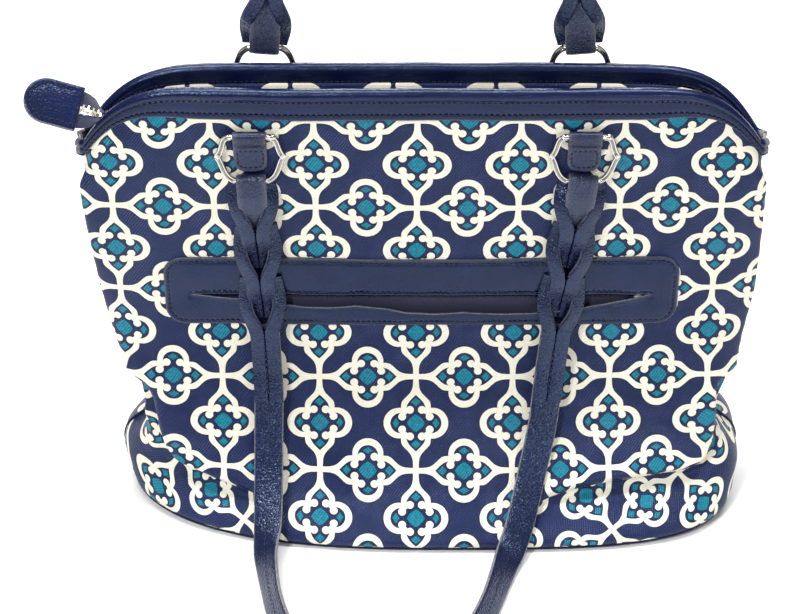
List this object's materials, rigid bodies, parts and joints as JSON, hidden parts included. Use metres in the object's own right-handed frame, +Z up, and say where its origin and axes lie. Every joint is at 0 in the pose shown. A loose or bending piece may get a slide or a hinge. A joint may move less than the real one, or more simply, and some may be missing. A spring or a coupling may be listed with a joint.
{
  "type": "satchel bag",
  "caption": "Soft zip-top satchel bag with a trellis-print coated canvas shell, leather rims, a slit pocket and braided handles on metal rings.",
  "frame": {"origin": "centre of the flat base, on the floor", "axes": "+Z up, front of the bag faces -Y, +X towards the right end as seen from the front"},
  "size_m": [0.4286, 0.2936, 0.6654],
  "materials": {
    "leather": "pebbled navy leather, semi-matt",
    "canvas": "coated canvas with a fine cross-hatch emboss, printed with cream trellis and teal quatrefoils",
    "lining": "woven cotton lining",
    "zip_tape": "woven navy tape",
    "zip_teeth": "pale polished metal",
    "nickel": "polished nickel",
    "board": "stiff base board",
    "cord": "twisted cotton piping cord"
  },
  "bodies": {
    "root": {"front_rim_binding": "leather", "back_rim_binding": "leather", "pocket_welt": "leather", "pocket_lip": "leather", "front_ring_tab_left": "leather", "front_ring_tab_right": "leather", "back_ring_tab_left": "leather", "back_ring_tab_right": "leather", "front_panel": "canvas", "back_panel": "canvas", "base_panel": "canvas", "zip_panel_front": "canvas", "zip_panel_back": "canvas", "lining_front": "lining", "lining_back": "lining", "lining_base": "lining", "pocket_bag": "lining", "zip_tape_front": "zip_tape", "zip_tape_back": "zip_tape", "zip_teeth_front": "zip_teeth", "zip_teeth_back": "zip_teeth", "zip_end_stop": "nickel", "base_board": "board", "front_rim_cord": "cord", "back_rim_cord": "cord"},
    "front_ring_left": {"front_ring_left": "nickel"},
    "front_ring_right": {"front_ring_right": "nickel"},
    "back_ring_left": {"back_ring_left": "nickel"},
    "back_ring_right": {"back_ring_right": "nickel"},
    "front_handle": {"front_braid_left": "leather", "front_braid_right": "leather", "front_strap_legs": "leather"},
    "front_strap": {"front_strap_loop": "leather"},
    "back_handle": {"back_braid_left": "leather", "back_braid_right": "leather", "back_strap": "leather"},
    "zip_slider": {"zip_slider": "nickel"},
    "zip_pull": {"zip_pull": "nickel"},
    "zip_tail": {"zip_tail_tape": "zip_tape", "zip_tail_teeth": "zip_teeth", "zip_tail_tab_top": "leather", "zip_tail_tab_under": "leather"}
  },
  "joints": [
    {"name": "front_ring_left_swing", "type": "hinge", "parent": "root", "child": "front_ring_left", "pos_m": [-0.1, -0.0198, 0.264], "axis": [-1, 0, 0], "range_deg": [0, 155]},
    {"name": "front_ring_right_swing", "type": "hinge", "parent": "root", "child": "front_ring_right", "pos_m": [0.094, -0.0198, 0.264], "axis": [-1, 0, 0], "range_deg": [0, 155]},
    {"name": "front_handle_swing", "type": "hinge", "parent": "front_ring_left", "child": "front_handle", "pos_m": [-0.1, -0.0198, 0.2345], "axis": [-1, 0, 0], "range_deg": [0, 15]},
    {"name": "front_strap_flex", "type": "hinge", "parent": "front_handle", "child": "front_strap", "pos_m": [-0.0195, -0.0915, 0.007], "axis": [1, 0, 0], "range_deg": [0, 58]},
    {"name": "back_ring_left_swing", "type": "hinge", "parent": "root", "child": "back_ring_left", "pos_m": [-0.092, 0.0198, 0.27], "axis": [-1, 0, 0], "range_deg": [0, 120]},
    {"name": "back_ring_right_swing", "type": "hinge", "parent": "root", "child": "back_ring_right", "pos_m": [0.092, 0.0198, 0.27], "axis": [-1, 0, 0], "range_deg": [0, 120]},
    {"name": "back_handle_swing", "type": "hinge", "parent": "back_ring_left", "child": "back_handle", "pos_m": [-0.092, 0.02134, 0.29946], "axis": [-1, 0, 0], "range_deg": [0, 8]},
    {"name": "zip_slide", "type": "slide", "parent": "root", "child": "zip_slider", "axis": [-1, 0, 0], "range_m": [0, 0.3]},
    {"name": "zip_pull_tilt", "type": "hinge", "parent": "zip_slider", "child": "zip_pull", "pos_m": [0.14, 0, 0.2705], "axis": [0, 1, 0], "range_deg": [0, 150]},
    {"name": "zip_tail_flop", "type": "hinge", "parent": "root", "child": "zip_tail", "pos_m": [-0.187, 0, 0.2664], "axis": [0, 1, 0], "range_deg": [-8, 60]}
  ],
  "couplings": [
    {"joint": "front_ring_right_swing", "follows": "front_ring_left_swing", "ratio": 1},
    {"joint": "front_strap_flex", "follows": "front_ring_left_swing", "ratio": 0.37},
    {"joint": "back_ring_right_swing", "follows": "back_ring_left_swing", "ratio": 1}
  ]
}
